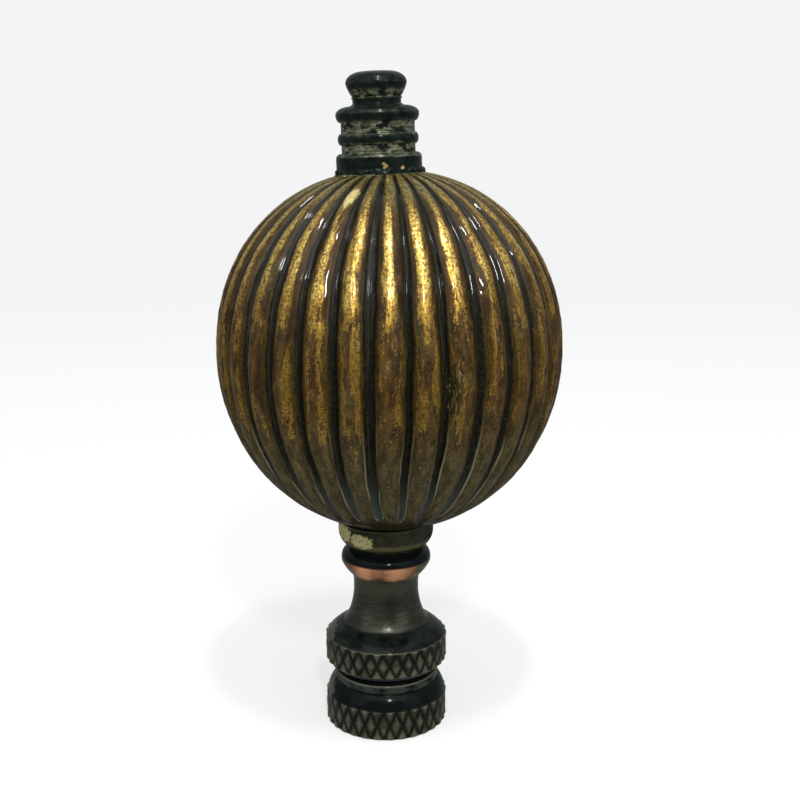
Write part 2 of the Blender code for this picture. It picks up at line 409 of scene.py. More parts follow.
def push_out(mesh, place, radius, out_by):
    """Move the points of a turned mesh away from its axis."""
    x, y, z = parts(place)
    grown = (radius + out_by) / calc("MAXIMUM", radius, TINY)
    return move_points(mesh, vector_of(x * grown, y * grown, z))


def close_tree(mesh, material, out):
    """End a Geometry Nodes tree as plain geometry with its material."""
    real = wire(mesh.tree, "GeometryNodeRealizeInstances", {0: mesh})
    dressed = wire(mesh.tree, "GeometryNodeSetMaterial", {"Geometry": real, "Material": material})
    mesh.tree.links.new(dressed.socket, out.inputs[0])
    return mesh.tree


def grow(name, mesh, tree, values):
    """Run a tree on a mesh and keep the result as a plain mesh."""
    maker = bpy.data.objects.new(name + "_maker", mesh)
    bpy.context.scene.collection.objects.link(maker)
    modifier = maker.modifiers.new("make", "NODES")
    modifier.node_group = tree
    for item in tree.interface.items_tree:
        if item.in_out == "INPUT" and item.name in values:
            modifier[item.identifier] = values[item.name]
    graph = bpy.context.evaluated_depsgraph_get()
    result = bpy.data.meshes.new_from_object(maker.evaluated_get(graph), depsgraph=graph)
    maker.modifiers.remove(modifier)
    bpy.data.objects.remove(maker)
    result.name = name
    return result


# Turned pieces

HIDDEN_SPACING = 8
SHARP_CORNER = math.radians(14)
CORNER_STEPS = 4
EDGE_REACH = 0.22 * MM
NO_LENGTH = 1e-9
TURNED_COLUMNS = 360


def arc(start, end, steps, leave_upright, fullness=1.0):
    """Points of a quarter ellipse from start to end; a fullness below 1 flattens it."""
    points = []
    for step in range(1, steps + 1):
        turn = 0.5 * math.pi * step / steps
        out = 1 - math.cos(turn) if leave_upright else math.sin(turn)
        up = math.sin(turn) if leave_upright else 1 - math.cos(turn)
        chord = 0.5 * (out + up)
        out = chord + (out - chord) * fullness
        up = chord + (up - chord) * fullness
        points.append((start[0] + (end[0] - start[0]) * out, start[1] + (end[1] - start[1]) * up))
    return points


def bulge(start, height, peak, steps):
    """Points of a rounded bead on start that closes at the same radius."""
    points = []
    for step in range(1, steps + 1):
        turn = math.pi * step / steps
        up = 0.5 * height * (1 - math.cos(turn))
        points.append((start[0] + (peak - start[0]) * math.sin(turn), start[1] + up))
    return points


def soften(profile, radius, spacing, hidden_radius=0.0):
    """Round a profile's corners and fill its long runs with points, with fewer inside hidden_radius."""
    rounded = [profile[0]]
    for before, here, after in zip(profile, profile[1:], profile[2:]):
        come = Vector(here) - Vector(before)
        leave = Vector(after) - Vector(here)
        if min(come.length, leave.length) < NO_LENGTH or come.angle(leave) < SHARP_CORNER:
            rounded.append(here)
            continue
        cut = min(radius, 0.45 * come.length, 0.45 * leave.length)
        first = Vector(here) - come.normalized() * cut
        last = Vector(here) + leave.normalized() * cut
        for step in range(CORNER_STEPS + 1):
            share = step / CORNER_STEPS
            point = first * (1 - share) ** 2 + Vector(here) * 2 * share * (1 - share) + last * share ** 2
            rounded.append(tuple(point))
    rounded.append(profile[-1])
    points = [rounded[0]]
    for before, here in zip(rounded, rounded[1:]):
        hidden = min(before[0], here[0]) < hidden_radius
        gap = math.dist(before, here) / (HIDDEN_SPACING if hidden else 1)
        pieces = max(1, math.ceil(gap / spacing - 0.001))
        for step in range(1, pieces + 1):
            points.append(tuple(a + (b - a) * (step / pieces) for a, b in zip(before, here)))
    return points


def sharpness(profile, reach):
    """How far each point of a profile stands out of the curve reach before and after it, in metres."""
    points = np.array(profile)
    along = np.concatenate([[0.0], np.cumsum(np.hypot(*np.diff(points, axis=0).T))])
    back = np.stack([np.interp(along - reach, along, points[:, axis]) for axis in range(2)], axis=1)
    ahead = np.stack([np.interp(along + reach, along, points[:, axis]) for axis in range(2)], axis=1)
    chord = ahead - back
    size = np.maximum(np.hypot(*chord.T), NO_LENGTH)
    offset = points - 0.5 * (back + ahead)
    return (offset[:, 0] * chord[:, 1] - offset[:, 1] * chord[:, 0]) / size


def turned_rings(profile, columns):
    """Points and faces of a turned profile that starts on the axis; its faces point down or outwards."""
    turns = np.arange(columns) * 2 * math.pi / columns
    points = [(0.0, 0.0, profile[0][1])]
    for radius, height in profile[1:]:
        ring = np.stack([radius * np.cos(turns), radius * np.sin(turns), np.full(columns, height)], axis=1)
        points.extend(map(tuple, ring))
    faces = []
    for column in range(columns):
        after = (column + 1) % columns
        faces.append((0, 1 + after, 1 + column))
        for low in range(1, 1 + (len(profile) - 2) * columns, columns):
            high = low + columns
            faces.append((low + column, low + after, high + after, high + column))
    return points, faces


def turned_mesh(name, profile, columns, material):
    """Turn a profile with both ends on the axis into a closed mesh that carries its height and its edges."""
    points, faces = turned_rings(profile[:-1], columns)
    points.append((0.0, 0.0, profile[-1][1]))
    last = len(points) - 1
    final = last - columns
    faces += [(last, final + column, final + (column + 1) % columns) for column in range(columns)]
    mesh = bpy.data.meshes.new(name)
    mesh.from_pydata(points, [], faces)
    mesh.materials.append(material)
    edges = sharpness(profile, EDGE_REACH)
    spread = [edges[0]] + [value for value in edges[1:-1] for _ in range(columns)] + [edges[-1]]
    heights = [point[2] for point in points]
    for label, values in (("edge", np.array(spread) / MM), ("up", np.array(heights) / MM)):
        store = mesh.attributes.new(label, "FLOAT", "POINT")
        store.data.foreach_set("value", values.astype(np.float32))
    mesh.shade_smooth()
    return mesh


def place_piece(name, mesh, node):
    """Make the finished mesh the piece that stands for a node of the frame."""
    piece = bpy.data.objects.new(name, mesh)
    bpy.context.scene.collection.objects.link(piece)
    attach(piece, "root")
    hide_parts(node)


# Ribbed ball

# The ball's outline is a superellipse; lengths of the patterns on it are in mm
BALL_UPPER_POWER = 2.14
BALL_LOWER_POWER = 2.03
CAD_FOOT_RADIUS = 5.2 * MM
BALL_COLUMNS_PER_RIB = 26
BALL_RINGS = 118
RIB_HALF_WIDTH = 1.74
BALL_ARC = 52.0
GROOVE_RIDGE = 0.89
CROWDING = 0.12
WANDER = 0.22
LUMPS = 0.16 * MM
SINK = 0.03 * MM
FLAW_EDGE = (1.04, 0.92)

# Flaws on single ribs: the rib, then the place and half sizes across and along it
CHIP = (21, 0.10, 0.857, 0.55, 0.034)
KNOCK = (25, -0.50, 0.462, 0.42, 0.050)

# Pale scratches on the knocked place, in mm: centre, half sizes and lean of each
SCRATCHES = (
    ((6.70, -15.9, 40.3), (0.030, 1.0, 0.34), -0.60),
    ((7.10, -15.7, 38.3), (0.035, 1.0, 0.26), 0.80),
    ((6.80, -15.9, 37.1), (0.030, 1.0, 0.30), 0.60),
)

# Marks of wear on the ball, in mm: centre, half sizes, lean and depth of each
DENTS = (
    ((6.6, -16.1, 38.6), (0.50, 1.2, 1.7), 0.15, 0.14),
    ((6.75, -15.9, 40.2), (0.09, 1.0, 0.60), -0.60, 0.10),
    ((7.15, -15.7, 38.3), (0.09, 1.0, 0.50), 0.80, 0.10),
    ((6.85, -15.9, 37.4), (0.08, 1.0, 0.50), 0.70, 0.10),
    ((1.29, -16.9, 46.5), (0.42, 1.6, 0.62), 0.0, 0.10),
    ((-5.21, -16.2, 34.5), (0.28, 1.2, 0.34), 0.3, 0.14),
    ((-1.6, -17.0, 33.6), (0.35, 1.2, 0.9), 0.25, 0.10),
    ((6.97, -15.9, 42.8), (0.22, 1.0, 0.28), 0.0, 0.08),
)


def ball_middle(settings):
    """Height of the ball's middle, found from the underside of its node in the frame."""
    share = (CAD_FOOT_RADIUS / settings.radius) ** BALL_LOWER_POWER
    return ball_box[0].z + settings.lower_height * (1 - share) ** (1 / BALL_LOWER_POWER)


def ball_meridian(given, latitude):
    """Radius of the crests and height of the ball at a latitude."""
    above = latitude > 0.0
    spread = calc("COSINE", latitude)
    crest = spread * given["Radius"]
    power = mix(above, given["Lower power"], given["Upper power"])
    tall = mix(above, given["Lower height"], given["Upper height"])
    inner = calc("MAXIMUM", 1.0 - spread ** power, 0.0)
    rise = tall * inner ** (1.0 / power)
    height = given["Middle"] + rise * calc("SIGN", latitude)
    return spread, crest, height


def rib_section(across, rib, share, here, wear):
    """How far the section stands out: 1 on a rib's crest, 0 at the bottom of the groove beside it."""
    side = calc("SIGN", across)
    edge_place = vector_of(rib * 3.1, side * 2.3, share * 8.0)
    drift = centred(grain(edge_place, 1.0, 3.0, 0.6), 0.3)
    rib_place = vector_of(rib * 7.7, side * 4.1, 0.5)
    drift = drift + centred(grain(rib_place, 1.0, 0.0), 0.34)
    drift = drift + centred(grain(here, 1.8, 3.0, 0.6), 0.1)
    brim = between(share, 0.45, 0.65, 0.7, 0.67) + drift * wear
    s = abs(across)
    dome = 0.5 * (s / brim) ** 2.1
    on_rib = 1.0 - dome
    into = (1.0 - s) / (1.0 - brim)
    in_groove = 0.5 * calc("MAXIMUM", into, 0.0) ** 1.7
    ridge = between(abs(across - GROOVE_RIDGE), 0.07, 0.0, 0.0, 0.15)
    in_groove = in_groove + ridge
    section = mix(s > brim, on_rib, in_groove)
    lip = between(abs(s - brim), 0.11, 0.0, 0.0, 0.055)
    section = section + lip
    closed = between(share + centred(grain(rib_place, 1.0, 0.0), 0.05), 0.15, 0.1)
    return mix(closed, section, 0.9)


def ribbed_ball_tree(values):
    """Geometry Nodes: a closed grid pushed out into a ball of rounded ribs and narrow grooves."""
    tree, given, out = geometry_tree("ribbed_ball", values)
    sizes = {
        "Vertices": given["Columns"], "Side Segments": given["Rings"], "Fill Segments": 1,
        "Radius": 1.0, "Depth": 1.0,
    }
    grid = wire(tree, "GeometryNodeMeshCylinder", sizes, fill_type="TRIANGLE_FAN")
    x, y, z = parts(wire(tree, "GeometryNodeInputPosition"))
    out_share = hypot(x, y)
    share = z + 0.5
    latitude = mix(share, given["Low turn"], given["High turn"])
    spread, crest, height = ball_meridian(given, latitude)

    # Which rib a column belongs to, and its place across it: 0 on the crest, -1 and 1 in the grooves
    count = given["Ribs"] / (2 * math.pi)
    phase = calc("ARCTAN2", y, x) * count
    whole = calc("FLOOR", phase + 0.5)
    rib = calc("FLOORED_MODULO", whole, given["Ribs"])
    even = (phase - whole) * 2.0
    across = even + calc("SINE", even * math.pi) * CROWDING

    # Hand wear: the ribs wander a little and their edges come and go
    phase = whole + across * 0.5
    turn = phase / count + given["Rib turn"]
    crest_mm = crest * (1 / MM)
    here = vector_of(calc("COSINE", turn) * crest_mm, calc("SINE", turn) * crest_mm, height * (1 / MM))
    wander = grain(here, 0.17, 2.0) - 0.5
    turn = turn + wander * (given["Wear"] * WANDER) / count
    stand = rib_section(across, rib, share, here, given["Wear"])

    depth = given["Groove depth"] * calc("SQRT", spread)
    reach = crest - depth * (1.0 - stand)
    lumps = grain(here, 1.2, 3.0, 0.55) - 0.5
    reach = reach + (lumps * (given["Wear"] * LUMPS) - SINK)
    for centre, size, lean, deep in DENTS:
        reach = reach - patch(here, centre, size, 0.25, 2.0, lean) * (deep * MM)
    reach = reach * out_share
    spot = vector_of(reach * calc("COSINE", turn) + given["Offset"], reach * calc("SINE", turn), height)
    # The carried numbers are read from the grid, so they are stored before it is moved
    moved = move_points(carry(grid, stand=stand, across=across, rib=rib, level=share), spot)
    return close_tree(wire(tree, "GeometryNodeSetShadeSmooth", {"Geometry": moved}), given["Material"], out)


def rib_grain(place, wide, tall, seed, detail=3.0, roughness=0.6):
    """Noise drawn out along the ribs: features of this width and height in mm, different on each rib."""
    across, level, rib = place
    local = vector_of(across * (RIB_HALF_WIDTH / wide), level * (BALL_ARC / tall), rib * 11.3 + seed)
    return grain(local, 1.0, detail, roughness)


def leaf_show(across, level, noises):
    """How much of the leaf shows: the crests above, torn edges in the middle, little below; the fall to the
    dark lower half is partly darker glaze and partly painted shade.
    """
    upper = between(level, 0.5, 0.66)
    low = between(level, 0.46, 0.3)
    shifted = abs(across + centred(noises["band"], 1.2))
    above = between(shifted, 0.5, 0.12, -0.16, 0.64)
    above = above - between(level, 0.76, 0.9, 0.0, 0.34)
    shifted = abs(across + centred(noises["band"], 2.4))
    middle = between(shifted, 0.24, 0.5, -0.16, 0.4)
    show = mix(upper, mix(low, middle, -0.16), above)
    for name, gain in (("streak", 0.8), ("clot", 0.7), ("thin", 0.6), ("speckle", 0.6), ("cloud", 0.9)):
        show = show + centred(noises[name], gain)
    return show


def glaze(settings, level, noises):
    """The glaze under and over the leaf: reddish brown above, olive below and khaki round the cap."""
    low = between(level, 0.46, 0.28)
    top = between(level, 0.78, 0.9)
    clots = between(noises["clot"], 0.38, 0.62)
    grains = between(noises["speckle"], 0.4, 0.62)
    brown = tones(clots, settings.brown, 0.45, 1.25)
    olive = tones(clots, settings.olive, 0.6, 1.15)
    khaki = tones(grains, settings.olive, 1.2, 4.2)
    ground = blend(low * 0.85, brown, olive)
    ground = blend(between(noises["cloud"], 0.5, 0.66) * 0.55, ground, olive)
    return blend(top * 0.85, ground, khaki)


def groove_paint(settings, across, level, noises):
    """Near-black paint in the grooves, with a paler line along its ridge as a painted highlight, and a
    painted reflection that greys it towards the foot.
    """
    groove_dirt_and_highlight = blend(between(noises["speckle"], 0.48, 0.66), rgb(settings.groove), rgb(settings.olive, 0.3))
    # Painted highlight: a paler line along the ridge in the groove
    ridge = between(abs(across - GROOVE_RIDGE), 0.05, 0.01)
    ridge = ridge * between(noises["streak"], 0.4, 0.6, 0.15, 0.7)
    groove_dirt_and_highlight = lay(groove_dirt_and_highlight, ridge, settings.olive, 0.5)
    # Painted reflection: the grooves turn grey towards the foot
    ends = between(level, 0.32, 0.15)
    return blend(ends, groove_dirt_and_highlight, rgb(settings.groove_end_reflection))


def rib_flaw(rib_place, flaw, noises):
    """1 on a ragged flaw of one rib, 0 elsewhere."""
    across, level, rib = rib_place
    number, middle, height, wide, tall = flaw
    on_rib = abs(rib - number) < 0.5
    away = hypot((across - middle) / wide, (level - height) / tall)
    for name, gain in (("clot", 2.2), ("thin", 1.3)):
        away = away + centred(noises[name], gain)
    return on_rib * between(away, *FLAW_EDGE)


def gilt(settings):
    """Gold leaf under rubbed brown glaze, dark in the grooves, under a clear glossy lacquer."""
    material, tree, place = new_material("old_gilt")
    stand, across, level, rib = carried(tree, "stand", "across", "level", "rib")
    rib_place = (across, level, rib)
    noises = {
        "streak": rib_grain(rib_place, 0.42, 3.6, 0.0),
        "thin": rib_grain(rib_place, 0.15, 1.0, 3.7),
        "band": rib_grain(rib_place, 1.1, 9.0, 7.9, 2.0),
        "clot": rib_grain(rib_place, 0.7, 1.8, 5.3, 4.0, 0.65),
        "speckle": spots(place, 0.24, 3.0, 0.7),
        "cloud": spots(place, 3.0, 3.0, 0.55),
    }
    low = between(level, 0.44, 0.28)
    show = leaf_show(across, level, noises)
    leaf = between(show, 0.06, 0.46)

    # Grainy gold, paler where the glaze is rubbed right off; above the middle the pale leaf is also a painted
    # highlight
    grains = between(noises["speckle"] + centred(noises["thin"], 0.35), 0.4, 0.6)
    gold = blend(grains, rgb(settings.brown, 3.8), rgb(settings.gold))
    bare_leaf_and_highlight = between(show, 0.4, 0.75) * between(level, 0.54, 0.66)
    gold = blend(bare_leaf_and_highlight * between(grains, 0.2, 0.8), gold, rgb(settings.pale))
    tone = blend(leaf, glaze(settings, level, noises), gold)
    pits = between(noises["speckle"], 0.44, 0.33, 0.0, 0.75)
    tone = blend(pits, tone, tones(leaf, settings.brown, 0.25, 1.5))
    flecks = between(noises["speckle"], 0.6, 0.7, 0.0, 0.45)
    tone = lay(tone, flecks, settings.gold, 0.9)

    # The ribs' sides, darkened as painted shade, their rims and the grooves
    edge = stand + centred(noises["thin"], 0.22)
    flank_shade = between(edge + centred(noises["band"], 0.9), 0.9, 0.56)
    tone = lay(tone, flank_shade * mix(low, 0.78, 0.4), settings.brown, 0.3)
    # Painted shade: darker brown towards the ball's foot, above the cup
    foot = between(level + centred(noises["clot"], 0.04), 0.16, 0.1, 0.0, 0.85)
    tone = lay(tone, foot, settings.brown, 0.22)
    # Painted highlight: a pale line on the rib edges beside the grooves, strongest below the middle
    rim = window(stand, 0.42, 0.5, 0.62, 0.54) * between(noises["band"], 0.4, 0.55)
    rim_highlight_tone = blend(low, rgb(settings.olive, 1.6), rgb(settings.rim))
    tone = blend(rim * mix(low, 0.3, 0.8), tone, rim_highlight_tone)
    groove = between(edge, 0.52, 0.26)
    tone = blend(groove, tone, groove_paint(settings, across, level, noises))

    # The pale chip beside the cap, and the dull place where the ball was knocked
    chip = rib_flaw(rib_place, CHIP, noises) * between(stand, 0.3, 0.45)
    tone = blend(chip, tone, tones(grains, settings.chip, 0.65, 1.0))
    knock = rib_flaw(rib_place, KNOCK, noises)
    splinters = between(noises["thin"], 0.54, 0.62)
    knocked = blend(splinters, rgb(settings.olive, 0.22), rgb(settings.chip, 0.4))
    tone = blend(knock * 0.7, tone, knocked)
    tone = lay(tone, patches(place, SCRATCHES, 0.3, 2.0), settings.chip, 0.6)

    clean = 1.0 - most(groove, chip)
    metal = (leaf * 0.65 + 0.22) * clean
    rough = mix(groove, mix(leaf, 0.52, 0.36), 0.34)
    finish_material(
        tree,
        {
            "Base Color": tone, "Metallic": metal, "Roughness": rough, "Specular IOR Level": 0.08,
            "Coat Weight": 0.5, "Coat Roughness": 0.04, "Coat IOR": 1.45,
        },
        [(noises["clot"], 0.08, 0.5), (noises["thin"], 0.05, 0.5), (noises["speckle"], 0.035, 0.7)],
    )
    return material


class FINIAL_OT_ball(bpy.types.Operator):
    """Model the ribbed gilt ball"""

    bl_idname = "finial.ball"
    bl_label = "Ribbed Ball"

    def execute(self, context):
        settings = context.scene.finial_ball
        values = {
            "Radius": settings.radius,
            "Upper height": settings.upper_height,
            "Lower height": settings.lower_height,
            "Upper power": BALL_UPPER_POWER,
            "Lower power": BALL_LOWER_POWER,
            "Low turn": -math.acos(settings.foot_radius / settings.radius),
            "High turn": math.acos(settings.crown_radius / settings.radius),
            "Middle": ball_middle(settings),
            "Offset": settings.offset,
            "Ribs": settings.ribs,
            "Rib turn": settings.turn,
            "Groove depth": settings.groove_depth,
            "Wear": 1.0,
            "Columns": BALL_COLUMNS_PER_RIB * settings.ribs,
            "Rings": BALL_RINGS,
            "Material": gilt(settings),
        }
        mesh = grow("gilt_ball", bpy.data.meshes.new("gilt_ball_seed"), ribbed_ball_tree(values), values)
        place_piece("gilt_ball", mesh, "fluted_ball")
        return {"FINISHED"}


# Knurled base

KNURL_LOW = 0.12 * MM
LOWER_KNURL_HEIGHT = 2.95 * MM
UPPER_KNURL_LOW = 6.87 * MM
UPPER_KNURL_HEIGHT = 2.6 * MM
BASE_COLUMNS = 390

# Forms of the base: a bead has its height and its reach, and the rest the radius and height where they end
SOCKET_RADIUS = 2.92 * MM
SOCKET_MOUTH = 3.22 * MM
SOCKET_CHAMFER = 0.3 * MM
SOCKET_DEPTH = 9.0 * MM
DRILL_TIP = 10.4 * MM
FOOT_CHAMFER = 0.12 * MM
GROOVE_FLOOR = 4.9 * MM
GROOVE_RISE = 0.375 * MM
BAND_CHAMFER = 0.5 * MM
UPPER_BAND_FOOT = 6.37 * MM
LOWER_SHOULDER = (5.3 * MM, 4.72 * MM)
WAIST_BEAD = (0.9 * MM, 5.45 * MM)
UPPER_SHOULDER = (4.55 * MM, 10.82 * MM)
BASE_NECK = (14.17 * MM, 15.07 * MM)
FLARE = (3.82 * MM, 16.37 * MM)
FLANGE_LOW = (4.62 * MM, 17.57 * MM)
FLANGE_HIGH = (4.62 * MM, 17.92 * MM)
BASE_TOP = (3.6 * MM, 18.92 * MM)

# The finishes of the base by height in mm: where each starts, is full, ends and begins to fade
BELL = (10.85, 11.1, 16.5, 16.2)
WAIST = (4.65, 4.8, 5.65, 5.55)
DULL_SHOULDER = (9.3, 9.6, 11.2, 10.9)
COPPER_LOW = (16.0, 16.8)
COPPER_HIGH = (18.0, 17.8)

# A painted reflection: lighter bronze at the left of both bands, in mm: centre, half sizes and lean of each
LEFT_LIMB_REFLECTION = (
    ((-5.9, -0.8, 3.9), (0.75, 2.4, 1.1), 0.0),
    ((-5.8, -0.8, 9.9), (0.70, 2.4, 0.9), 0.0),
)
BAND_MARGIN = 0.001
ROOT_MARGIN = 0.02 * MM


def base_profile(settings):
    """The base's outline from the drill point in its socket to the top of its flange."""
    root = settings.knurl_radius - settings.knurl_depth
    rows = [(0.0, DRILL_TIP), (SOCKET_RADIUS, SOCKET_DEPTH), (SOCKET_RADIUS, SOCKET_CHAMFER)]
    rows += [(SOCKET_MOUTH, 0.0), (root - FOOT_CHAMFER, 0.0), (root, KNURL_LOW)]
    rows.append((root, KNURL_LOW + LOWER_KNURL_HEIGHT))
    rows += arc(rows[-1], LOWER_SHOULDER, 12, True, 0.6)
    rows += bulge(rows[-1], *WAIST_BEAD, 12)
    rows.append((GROOVE_FLOOR, rows[-1][1] + GROOVE_RISE))
    rows += [(root - BAND_CHAMFER, UPPER_BAND_FOOT), (root, UPPER_KNURL_LOW)]
    rows.append((root, UPPER_KNURL_LOW + UPPER_KNURL_HEIGHT))
    rows += arc(rows[-1], UPPER_SHOULDER, 12, True, 0.3)
    rows += arc(rows[-1], (settings.neck_radius, BASE_NECK[0]), 24, False, 0.65)
    rows.append((settings.neck_radius, BASE_NECK[1]))
    rows += arc(rows[-1], FLARE, 8, True)
    rows += arc(rows[-1], FLANGE_LOW, 8, False, 0.25)
    rows.append(FLANGE_HIGH)
    rows += arc(rows[-1], BASE_TOP, 10, True)
    rows.append((0.0, BASE_TOP[1]))
    return rows


def knurl_tree(values):
    """Geometry Nodes: raise crossed-cut diamonds on both bands of a turned base."""
    tree, given, out = geometry_tree("diamond_knurl", values, takes_mesh=True)
    place = wire(tree, "GeometryNodeInputPosition")
    x, y, z = parts(place)
    radius = hypot(x, y)
    turn = calc("ARCTAN2", y, x) - given["Turn"]
    across = turn * (given["Diamonds"] / (2 * math.pi))
    outer = radius > given["Root"] - ROOT_MARGIN
    rises = []
    bands = []
    for label in ("Lower", "Upper"):
        low, tall = given[label + " low"], given[label + " height"]
        up = (z - low) / tall
        in_band = (up > -BAND_MARGIN) * (up < 1 + BAND_MARGIN) * outer
        right = calc("PINGPONG", across + up, 0.5)
        left = calc("PINGPONG", across - up, 0.5)
        diamond = between(calc("MINIMUM", right, left), -0.02, 0.42)
        rises.append(diamond * in_band)
        bands.append(in_band)
    rise = rises[0] + rises[1]
    marked = carry(given["Mesh"], knurl=rise, band=bands[0] + bands[1])
    return close_tree(push_out(marked, place, radius, rise * given["Depth"]), given["Material"], out)


def worn_bronze(settings):
    """Brushed dark bronze with glossy black shoulders, worn knurl tips and a copper-coloured flange."""
    material, tree, place = new_material("worn_bronze")
    knurl, band, up, edge = carried(tree, "knurl", "band", "up", "edge")
    x, y, _ = parts(place)
    brushed = rings(place, 0.0, 3.0, 0.1, 4.0, 0.65)
    scratch = rings(place, 0.0, 14.0, 0.22, 3.0, 0.6)
    cloud = spots(place, 1.6, 3.0, 0.55)
    speckle = spots(place, 0.15, 3.0, 0.65)

    # The copper begins at a torn edge and ends at a clean one
    bell = window(up, *BELL)
    flange = between(up + centred(cloud, 1.0), *COPPER_LOW) * between(up, *COPPER_HIGH)

    bronze = tones(between(brushed, 0.35, 0.7), settings.bronze, 0.55, 1.25)
    black = tones(between(cloud, 0.3, 0.8), settings.lacquer, 1.0, 1.7)
    # Painted shade: a dark reflected streak down the front of the bell, and a darker bottom that tones down
    # the light from above
    streak = between(abs(x - 0.5 * MM), 1.4 * MM, 0.1 * MM) * (y < 0.0)
    streak = streak * between(up, 15.4, 14.0, 0.0, 0.65)
    streak = most(streak, between(up, 12.6, 11.0, 0.0, 0.5))
    bronze = lay(bronze, streak, settings.patina_and_painted_shade)
    bronze = lay(bronze, between(up, 13.6, 15.4, 0.0, 0.5), settings.bronze, 1.9)
    dull = window(up, *DULL_SHOULDER) * between(cloud, 0.4, 0.6)
    black = lay(black, dull, settings.waist, 0.4)
    tone = blend(bell, black, bronze)
    tone = lay(tone, window(up, *WAIST) * between(cloud, 0.4, 0.6), settings.waist)
    shade = between(cloud + centred(scratch, 0.3), 0.4, 0.62)
    bright = most(
        between(abs(x + 2.2 * MM), 1.3 * MM, 0.2 * MM), between(abs(x - 1.1 * MM), 1.6 * MM, 0.2 * MM),
    )
    coppery = tones(shade, settings.copper, 0.25, 0.5)
    coppery = lay(coppery, bright * 0.75, settings.copper, 1.1)
    # Painted reflection: the copper turns a darker olive-green towards its sides seen from the front
    ends = between(abs(x + 0.5 * MM), 3.0 * MM, 4.0 * MM, 0.0, 0.75) * between(y, 3.0 * MM, -2.0 * MM)
    coppery = lay(coppery, ends, settings.waist, 1.4)
    tone = blend(flange, tone, coppery)
    patina_and_painted_shade = rings(place, 0.0, 5.0, 1.2, 4.0, 0.65)
    worn_tip = knurl ** 1.15 * between(patina_and_painted_shade, 0.34, 0.62, 0.35, 1.25)
    worn_tip = worn_tip + centred(speckle, 0.4)
    low_rows = most(between(up, 1.9, 0.5), between(up, 8.5, 7.3) * (up > 6.0))
    worn_tip = worn_tip * mix(low_rows, 0.8, 1.45)
    knurled = tones(worn_tip, settings.tips, 0.08, 1.1)
    tone = blend(band, tone, knurled)
    worn_edge = between(edge + scratch * 0.03, 0.045, 0.085) * (1.0 - band)
    tone = lay(tone, worn_edge * 0.5, settings.tips, 0.8)
    # Painted reflection: lighter bronze on the left limb of both bands
    tone = lay(tone, patches(place, LEFT_LIMB_REFLECTION, 0.8, 2.4) * 0.7, settings.bronze, 0.9)

    gloss = most(bell, band, flange)
    rough = mix(gloss, 0.16, mix(band, 0.3, 0.42))
    metal = mix(gloss, 0.25, mix(flange, 0.9, 0.45))
    ridges = brushed * (bell + 0.15)
    finish_material(
        tree,
        {
            "Base Color": tone, "Metallic": metal, "Roughness": rough, "Specular IOR Level": 0.06,
            "Coat Weight": 0.13, "Coat Roughness": 0.06, "Coat IOR": 1.45,
            "Sheen Weight": 0.22, "Sheen Roughness": 0.28, "Sheen Tint": SHEEN_TINT,
        },
        [(cloud, 0.08, 0.3), (ridges, 0.02, 0.5), (speckle, 0.012, 0.4)],
    )
    return material


class FINIAL_OT_base(bpy.types.Operator):
    """Turn and knurl the base"""

    bl_idname = "finial.base"
    bl_label = "Knurled Base"

    def execute(self, context):
        settings = context.scene.finial_base
        material = worn_bronze(settings)
        profile = soften(base_profile(settings), radius=0.07 * MM, spacing=0.20 * MM, hidden_radius=3.0 * MM)
        blank = turned_mesh("base_blank", profile, BASE_COLUMNS, material)
        values = {
            "Root": settings.knurl_radius - settings.knurl_depth,
            "Depth": settings.knurl_depth,
            "Diamonds": settings.diamonds,
            "Turn": settings.turn,
            "Lower low": KNURL_LOW,
            "Lower height": LOWER_KNURL_HEIGHT,
            "Upper low": UPPER_KNURL_LOW,
            "Upper height": UPPER_KNURL_HEIGHT,
            "Material": material,
        }
        mesh = grow("bronze_base", blank, knurl_tree(values), values)
        place_piece("bronze_base", mesh, "knurled_base")
        return {"FINISHED"}


# Cup under the ball

BOSS_DEPTH = 0.3 * MM
BOSS_STEP = 0.35 * MM
CUP_FLARE = 1.65 * MM
RIM_WIDTH = 0.35 * MM
BED_STEP = 0.6 * MM
BED_RISE = 0.2 * MM
CUP_FOOT = (19.7, 19.95, 20.5, 20.2)

# The two spots of pale leaf, in mm: centre, half sizes and lean of each
CUP_LEAF = (
    ((-4.3, -2.5, 21.1), (0.9, 2.0, 0.95), 0.0),
    ((-2.5, -4.3, 20.7), (1.4, 1.4, 0.75), 0.0),
)


def cup_profile(settings):
    """The cup's outline, with a short boss that meets the flange and a rim that meets the ball."""
    low, high = cup_box[0].z, cup_box[1].z
    boss, rim = settings.lip_radius - BOSS_STEP, settings.rim_radius
    rows = [(0.0, low - BOSS_DEPTH), (boss, low - BOSS_DEPTH), (boss, low), (settings.lip_radius, low)]
    rows += arc(rows[-1], (rim, low + CUP_FLARE), 16, False)
    rows += [(rim, high), (rim - RIM_WIDTH, high), (rim - BED_STEP, high + BED_RISE), (0.0, high + BED_RISE)]
    return rows


